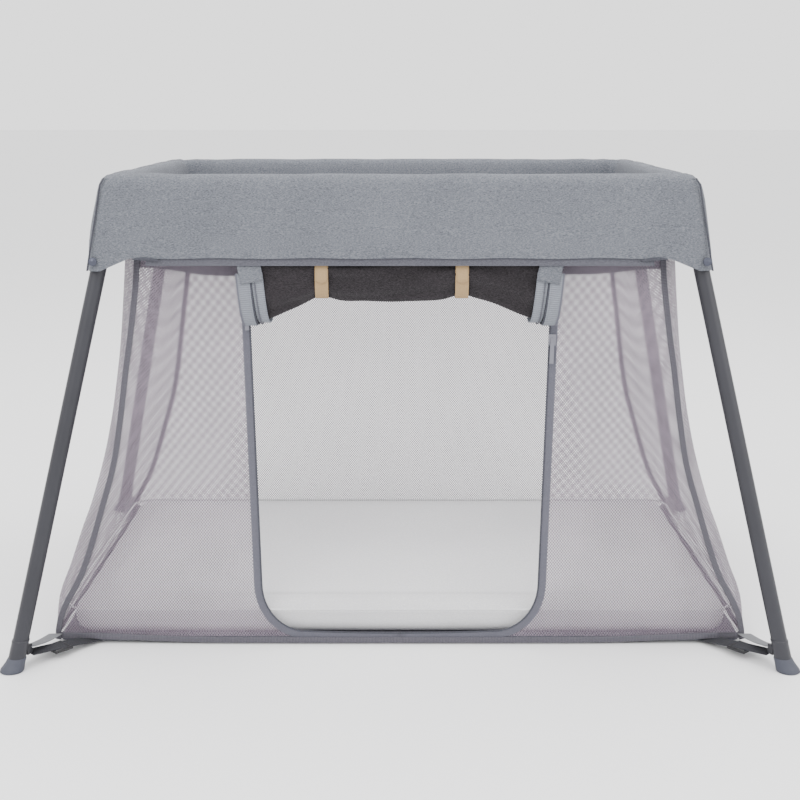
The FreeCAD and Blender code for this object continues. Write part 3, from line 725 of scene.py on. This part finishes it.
def rear_half(sx):
    bm = bmesh.new()

    def place(u, v):
        z = WALL_LOW + (WALL_HIGH - WALL_LOW) * v
        pull = 0.002 * math.sin(math.pi * v) * math.cos(math.pi / 2 * u)
        return Vector((sx * seam_x(z) * u, wall_y(z) - pull, z))

    return sheet_grid(bm, 30, 50, place)


def end_sheet(sx):
    bm = bmesh.new()

    def place(u, v):
        z = WALL_LOW + (WALL_HIGH - WALL_LOW) * v
        side = 2 * u - 1
        x = seam_x(z) + (bulge_x(z) - seam_x(z)) * (1 - abs(side) ** 7)
        return Vector((sx * x, side * wall_y(z), z))

    return sheet_grid(bm, 48, 50, place)


for end, sx in ENDS:
    wall = add_piece(f"front_{end}_net", front_half(sx), "mesh", end + "_end")
    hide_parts("front_wall_" + end)
    squash_with_frame(wall)
    wall = add_piece(f"rear_{end}_net", rear_half(sx), "mesh", end + "_end")
    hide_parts("rear_wall")
    squash_with_frame(wall)
    wall = add_piece(f"{end}_end_net", end_sheet(sx), "end_net", end + "_end", "mesh")
    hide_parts(end + "_end_wall")


def corner_seam(end, sx, side, sy):
    """Bound seam down a corner of the walls."""
    path = []
    for k in range(41):
        z = 0.008 + (0.60 - 0.008) * k / 40
        path.append(Vector((sx * (seam_x(z) - 0.0020), sy * (wall_y(z) + 0.0012), z)))
    band(f"{side}_{end}_seam", path, (sx * 0.35, sy, 0), 0.0090, 0.0028, "seam_tape", end + "_end",
         False, "mesh")


for end, sx in ENDS:
    for side, sy in SIDES:
        corner_seam(end, sx, side, sy)


# ------------------------------------------------------------ zip and rolled door
def door_line(sx, inset):
    """Half of the door's edge, from the top to the middle of the sill."""
    points = []
    low = DOOR_LOW + DOOR_CORNER
    for k in range(24):
        z = DOOR_TOP - (DOOR_TOP - low) * k / 24
        points.append((door_x(z) - inset, z))
    round_x = door_x(low) - inset
    for k in range(13):
        a = math.pi / 2 * k / 12
        points.append((round_x - (0.072 - inset) * (1 - math.cos(a)),
                       low - (DOOR_CORNER - inset) * math.sin(a)))
    edge_x, edge_z = points[-1]
    for k in range(1, 9):
        points.append((edge_x * (1 - k / 8), edge_z - 0.003 * math.sin(math.pi / 2 * k / 8)))
    return [Vector((sx * x, -wall_y(z) - 0.0010, z)) for x, z in points]


for end, sx in ENDS:
    tape = band(f"{end}_zip_tape", door_line(sx, TAPE * 0.30), (0, -1, -0.066), 0.0120, 0.0012, "zip",
                end + "_end")
    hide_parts("zip_tape")
    squash_with_frame(tape)
    teeth = band(f"{end}_zip_teeth", [p + Vector((0, -0.0008, 0)) for p in door_line(sx, TAPE * 0.9)],
                 (0, -1, -0.066), 0.0026, 0.0022, "piping", end + "_end", False, "zip", 1.0)
    squash_with_frame(teeth)

ROLL_CENTRE_Y = -0.2765
ROLL_TOP = 0.574
ROLL_END = 0.222
TIE_SPOTS = (TIES_LOW.x + TIE_WIDTH / 2, TIES_HIGH.x - TIE_WIDTH / 2)


def roll_bottom(x):
    """The roll hangs lowest at its ends and is drawn up by its ties."""
    sag = 0.5105 - 0.030 * smooth(0.110, 0.215, abs(x))
    for tie in TIE_SPOTS:
        sag += 0.0070 * math.exp(-((x - tie) / 0.020) ** 2)
    return sag


def roll_depth(x):
    depth = 0.0145
    for tie in TIE_SPOTS:
        depth -= 0.0030 * math.exp(-((x - tie) / 0.018) ** 2)
    return depth


def roll_ring(x, count, ridges, seed):
    """A section of the roll: an upright oval with the edges of its layers."""
    low, high = roll_bottom(x), ROLL_TOP
    centre = Vector((x, ROLL_CENTRE_Y, (low + high) / 2))
    ring = []
    for k in range(count):
        a = 2 * math.pi * k / count
        fold = ridges * (math.sin(a * 6 + 2.2 * math.sin(x * 17 + seed)) * 0.5
                         + noise.noise(Vector((x * 16 + seed, math.cos(a) * 2.2, math.sin(a) * 2.2))))
        y = math.cos(a) * (roll_depth(x) + fold)
        z = math.sin(a) * ((high - low) / 2 + fold * 0.6)
        ring.append(centre + Vector((0, y, z)))
    return ring


def door_roll():
    bm = bmesh.new()
    steps = 110
    rings = [roll_ring(-ROLL_END + 2 * ROLL_END * k / steps, 44, 0.0042, 0.0) for k in range(steps + 1)]
    loft(bm, rings, closed=False, caps=True)
    return add_piece("rolled_door_net", bm, "roll_net", "left_end", "mesh")


roll = door_roll()
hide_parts("door_roll")
squash_with_frame(roll)


def round_roll(x, lift, start, finish, count=17, drift=0.0):
    """A path over the front of the roll at x, from the angle start down to finish, in degrees."""
    low, depth = roll_bottom(x), roll_depth(x)
    middle = (ROLL_TOP + low) / 2
    path = []
    for k in range(count):
        t = k / (count - 1)
        a = math.radians(start + (finish - start) * t)
        y = ROLL_CENTRE_Y - math.cos(a) * (depth + lift)
        path.append(Vector((x + drift * (0.5 - t), y, middle + math.sin(a) * ((ROLL_TOP - low) / 2 + lift))))
    return path


def off_roll(point):
    return Vector((0, point.y - ROLL_CENTRE_Y, (point.z - 0.540) * 0.3))


def cuff(end, sx):
    """The door's edge at one end of the roll: zip tapes and their teeth wound round it, under a cloth tab."""
    strips = (("outer_tape", 0.2150, 0.0195, 0.0018, "cuff_tape", 0.0048, 28, -118),
              ("inner_tape", 0.1945, 0.0165, 0.0018, "cuff_tape", 0.0036, 28, -118),
              ("teeth", 0.2045, 0.0030, 0.0022, "piping", 0.0042, 28, -118),
              ("edge", 0.1985, 0.0016, 0.0016, "trim", 0.0052, 28, -118),
              ("fold", 0.2235, 0.0030, 0.0060, "zip", 0.0030, 28, -118),
              ("tab", 0.2125, 0.0330, 0.0016, "cover_fabric", 0.0068, 82, 12))
    for name, x, width, thickness, finish, lift, start, stop in strips:
        bm = bmesh.new()
        path = round_roll(sx * x, lift, start, stop, 17, sx * 0.012)
        sweep(bm, path, off_roll, oval(width, thickness, 12, 0.35))
        squash_with_frame(add_piece(f"{end}_cuff_{name}", bm, finish, "left_end", "zip"))


for end, sx in ENDS:
    cuff(end, sx)


def tie(index, x):
    """A tape down the front of the roll and under it, with its rounded tongue in front."""
    bm = bmesh.new()
    sweep(bm, round_roll(x, 0.0030, 60, -130, 21), off_roll, oval(TIE_WIDTH, 0.0014, 12, 0.3))

    def tongue(t):
        width = TIE_WIDTH * 0.94 * (1 if t < 0.8 else math.sqrt(max(0.04, 1 - ((t - 0.8) / 0.2) ** 2)))
        return oval(width, 0.0014, 12, 0.3)

    sweep(bm, round_roll(x, 0.0048, 60, -16, 13), off_roll, tongue)
    piece = add_piece(f"roll_tie_{index}", bm, "tie_webbing", "left_end")
    squash_with_frame(piece)
    return piece


ties = [tie(index, x) for index, x in enumerate(TIE_SPOTS, 1)]
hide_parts("door_ties")


# ------------------------------------------------------------ base and mattress
def rounded_slab(half_x, half_y, radius, z0, z1, edge):
    """A slab with round corners and rolled edges."""
    bm = bmesh.new()
    bmesh.ops.create_cube(bm, size=1.0)
    for vert in bm.verts:
        vert.co = Vector((vert.co.x * 2 * half_x, vert.co.y * 2 * half_y, z0 if vert.co.z < 0 else z1))
    upright = [e for e in bm.edges if abs(e.verts[0].co.z - e.verts[1].co.z) > 1e-6]
    bmesh.ops.bevel(bm, geom=upright, offset=radius, segments=10, profile=0.5, affect="EDGES", material=-1)
    level = [e for e in bm.edges if abs(e.verts[0].co.z - e.verts[1].co.z) < 1e-6 and len(e.link_faces) == 2
             and abs(e.link_faces[0].normal.z - e.link_faces[1].normal.z) > 0.5]
    bmesh.ops.bevel(bm, geom=level, offset=edge, segments=4, profile=0.5, affect="EDGES", material=-1)
    return bm


def swell(piece, voxel, pressure, limit):
    """Blows a padded piece up a little as cloth, and keeps the result."""
    rest = piece.modifiers.new("remesh", "REMESH")
    rest.mode = "VOXEL"
    rest.voxel_size = voxel
    settle(piece)
    start = [vert.co.copy() for vert in piece.data.vertices]
    cloth = piece.modifiers.new("cloth", "CLOTH")
    cloth.settings.use_pressure = True
    cloth.settings.uniform_pressure_force = pressure
    cloth.settings.effector_weights.gravity = 0
    cloth.point_cache.frame_start = 1
    cloth.point_cache.frame_end = 20
    for number in range(1, 21):
        bpy.context.scene.frame_set(number)
    settle(piece)
    bpy.context.scene.frame_set(1)
    for vert, before in zip(piece.data.vertices, start):
        move = vert.co - before
        if move.length > limit:
            vert.co = before + move.normalized() * limit
        vert.co.z = max(vert.co.z, MAT_LOW.z)


def mattress():
    half_x, half_y = MAT_HIGH.x + 0.003, MAT_HIGH.y - 0.001
    bm = rounded_slab(half_x, half_y, 0.034, MAT_LOW.z + 0.001, MAT_HIGH.z - 0.006, 0.014)
    piece = add_piece("mattress_pad", bm, "mattress_fabric")
    swell(piece, 0.006, 4.0, 0.006)
    finer = piece.modifiers.new("smooth", "SMOOTH")
    finer.iterations = 6
    settle(piece)
    return piece


pad = mattress()
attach(pad, "left_end")
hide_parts("mattress")
squash_on_floor(pad)


def mattress_piping():
    """Piping round the mattress's upper edge."""
    height = MAT_HIGH.z - 0.0085
    path = ring_line(MAT_HIGH.x + 0.0060, MAT_HIGH.y + 0.0010, 0.036, lambda x, y: height)
    piece = band("mattress_piping", path, (0, 0, 1), 0.0036, 0.0036, "mattress_fabric", "left_end", True,
                 None, 1.0)
    squash_on_floor(piece)


mattress_piping()

floor_low, floor_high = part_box("base_floor")
bm = rounded_slab(floor_high.x - 0.003, floor_high.y, 0.012, floor_low.z, floor_high.z, 0.0025)
panel = add_piece("floor_panel", bm, "base_fabric", "left_end")
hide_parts("base_floor")
squash_on_floor(panel)


def base_binding():
    """Binding round the lower edge of the walls, a little higher at the corners."""
    def height(x, y):
        return 0.0065 + 0.0075 * smooth(0.25, 0.50, abs(x))

    def outward(point):
        return Vector((point.x if abs(point.x) > 0.497 else 0, point.y if abs(point.y) > 0.282 else 0, 0))

    path = ring_line(seam_x(0.010) + 0.0015, wall_y(0.008) + 0.0016, 0.014, height)
    piece = band("base_binding", path, outward, 0.009, 0.0030, "seam_tape", "left_end", True, "base_fabric")
    squash_on_floor(piece)


base_binding()


# ------------------------------------------------------------ feet, foot straps and buckles
LEG_TOP = Vector((0.409, 0.262, 0.626))
LEG_FOOT = Vector((0.545, 0.390, 0.0))


def at_corner(point, sx, sy):
    return Vector((sx * point[0], sy * point[1], point[2]))


def leg_point(z):
    """The middle of a leg at a height."""
    return LEG_FOOT.lerp(LEG_TOP, z / LEG_TOP.z)


def foot_rings(profile, sx, sy):
    """Level rings up the leg. Each level gives its height, its radius and how far it is pushed outboard."""
    rings = []
    for z, radius, push in profile:
        middle = leg_point(z) + Vector((push, push * 0.5, 0))
        ring = []
        for k in range(28):
            a = 2 * math.pi * k / 28
            out = Vector((math.cos(a) * radius * 1.03, math.sin(a) * radius * 1.02, 0))
            ring.append(at_corner(middle + out, sx, sy))
        rings.append(ring)
    return rings


def foot(end, sx, side, sy):
    """A dark sleeve on the tube, and a flared sole that spreads outboard."""
    sleeve = ((0.010, 0.0119, 0), (0.0400, 0.0117, 0), (0.0412, 0.0120, 0), (0.0432, 0.0120, 0),
              (0.0440, 0.0111, 0))
    sole = ((0.0, 0.0150, 0.0030), (0.0012, 0.0164, 0.0032), (0.0040, 0.0162, 0.0030),
            (0.0080, 0.0148, 0.0020), (0.0130, 0.0135, 0.0008), (0.0175, 0.0129, 0.0), (0.0190, 0.0122, 0.0))
    name = f"{side}_{end}"
    for part, profile, finish in (("sleeve", sleeve, "frame_tube"), ("sole", sole, "foot_plastic")):
        bm = bmesh.new()
        loft(bm, foot_rings(profile, sx, sy), closed=False, caps=True)
        piece = add_piece(f"{name}_foot_{part}", bm, finish, name + "_leg")
        piece.data.set_sharp_from_angle(angle=math.radians(60))
    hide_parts("foot_" + name)
    nub = block(f"{name}_strap_loop", (0.012, 0.006, 0.014), leg_point(0.026) + Vector((-0.0120, -0.0100, 0)),
                strap_turn(), 0.0015, "moulding", name + "_leg", sx, sy)


def strap_turn():
    """Direction from a foot towards the corner of the base, seen from above."""
    return math.atan2(-0.0965, -0.036)


def block(name, size, middle, turn, edge, finish, body, sx, sy):
    """A bevelled block turned about Z, at one corner of the playpen."""
    bm = bmesh.new()
    bmesh.ops.create_cube(bm, size=1.0)
    shape = Matrix.Rotation(turn, 4, "Z") @ Matrix.Diagonal((*size, 1))
    bmesh.ops.transform(bm, matrix=shape, verts=bm.verts)
    for vert in bm.verts:
        vert.co = at_corner(vert.co + middle, sx, sy)
    piece = add_piece(name, bm, finish, None, None, True)
    round_edges(piece, edge, 3)
    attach(piece, body)
    return piece


def hanging(start, finish, sag, count=17):
    """Points of a strap between two places."""
    points = []
    for k in range(count):
        t = k / (count - 1)
        points.append(start.lerp(finish, t) - Vector((0, 0, sag * math.sin(math.pi * t))))
    return points


def foot_strap(end, sx, side, sy):
    """Two webbing straps from a foot: one to the base's corner, one under the base through a ladder lock."""
    corner = Vector((seam_x(0.014) + 0.0015, wall_y(0.014) + 0.0035, 0.0125))
    upper = hanging(Vector((0.5290, 0.3720, 0.0290)), corner + Vector((0, 0, 0.0040)), 0.0020)
    under = hanging(Vector((0.5280, 0.3700, 0.0190)), Vector((0.4400, 0.2700, 0.0032)), -0.0008)
    straps = []
    kinds = (("upper", upper, "pale_strap", -0.12), ("under", under, "strap_webbing", 0.12))
    for name, path, finish, lean in kinds:
        path = [at_corner(point, sx, sy) for point in path]
        straps.append(band(f"{side}_{end}_{name}_strap", path, (-sx * lean, 0, 1), 0.0225, 0.0016, finish,
                           end + "_end", False, "strap_webbing"))
    return straps


def ladder_lock(end, sx, side, sy):
    """A flat plastic frame with two cross bars round the lower strap."""
    middle = Vector((0.4960, 0.3337, 0.0118))
    turn = math.atan2(-0.1000, -0.0880)
    along, across = Vector((math.cos(turn), math.sin(turn), 0)), Vector((-math.sin(turn), math.cos(turn), 0))
    bars = [((0.030, 0.0042, 0.0045), across * side_of * 0.0138, "rail") for side_of in (-1, 1)]
    bars += [((0.0042, 0.026, 0.0040), along * step, "bar") for step in (-0.0128, -0.0015, 0.0125)]
    pieces = []
    for index, (size, offset, kind) in enumerate(bars):
        pieces.append(block(f"{side}_{end}_buckle_{kind}_{index}", size, middle + offset, turn, 0.0010,
                            "buckle_plastic", end + "_end", sx, sy))
    return pieces


for end, sx in ENDS:
    straps, locks = [], []
    for side, sy in SIDES:
        foot(end, sx, side, sy)
        straps += foot_strap(end, sx, side, sy)
        locks += ladder_lock(end, sx, side, sy)
    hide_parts("foot_straps_" + end)
    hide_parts("strap_buckles_" + end)

# ------------------------------------------------------------ finishes of the frame's own pieces
slots = {part["node"]: part["material_slot"] for part in frame["record"]["subparts"]}
for name, node in frame["nodes"].items():
    if not node.hide_render:
        node.data.materials.clear()
        node.data.materials.append(finishes[slots[name]])


# ------------------------------------------------------------ floor, light and camera
def studio():
    bm = bmesh.new()
    bmesh.ops.create_grid(bm, x_segments=2, y_segments=2, size=40)
    mesh = bpy.data.meshes.new("studio_floor")
    bm.to_mesh(mesh)
    bm.free()
    floor = bpy.data.objects.new("studio_floor", mesh)
    bpy.context.scene.collection.objects.link(floor)
    paper = Finish("pale_floor", (0.88, 0.88, 0.885), 0.7)
    paper.bump(paper.grain(paper.place(), 40.0), 0.0002)
    mesh.materials.append(paper.material)
    world = bpy.context.scene.world or bpy.data.worlds.new("studio")
    bpy.context.scene.world = world
    world.use_nodes = True
    world.node_tree.nodes["Background"].inputs[0].default_value = (1.0, 1.0, 1.0, 1)
    world.node_tree.nodes["Background"].inputs[1].default_value = 1.9


def lamp(name, spot, aim, size, power):
    light = bpy.data.lights.new(name, "AREA")
    light.shape = "RECTANGLE"
    light.size, light.size_y = size
    light.energy = power
    holder = bpy.data.objects.new(name, light)
    bpy.context.scene.collection.objects.link(holder)
    holder.location = spot
    holder.rotation_euler = (Vector(aim) - Vector(spot)).to_track_quat("-Z", "Y").to_euler()


studio()
lamp("key_light", (-1.6, -2.6, 2.8), (0, 0, 0.3), (2.2, 2.2), 80)
lamp("fill_light", (2.4, -1.8, 1.8), (0, 0, 0.3), (2.0, 2.0), 38)
lamp("top_light", (0.2, 0.4, 3.0), (0, 0, 0.2), (2.6, 2.0), 66)

camera = bpy.data.cameras.new("camera")
camera.sensor_width = 36
camera.lens = 61.28
viewer = bpy.data.objects.new("camera", camera)
bpy.context.scene.collection.objects.link(viewer)
viewer.location = (0, -2.189, 0.7829)
viewer.rotation_euler = (math.radians(90 - 12.28), 0, 0)
bpy.context.scene.camera = viewer
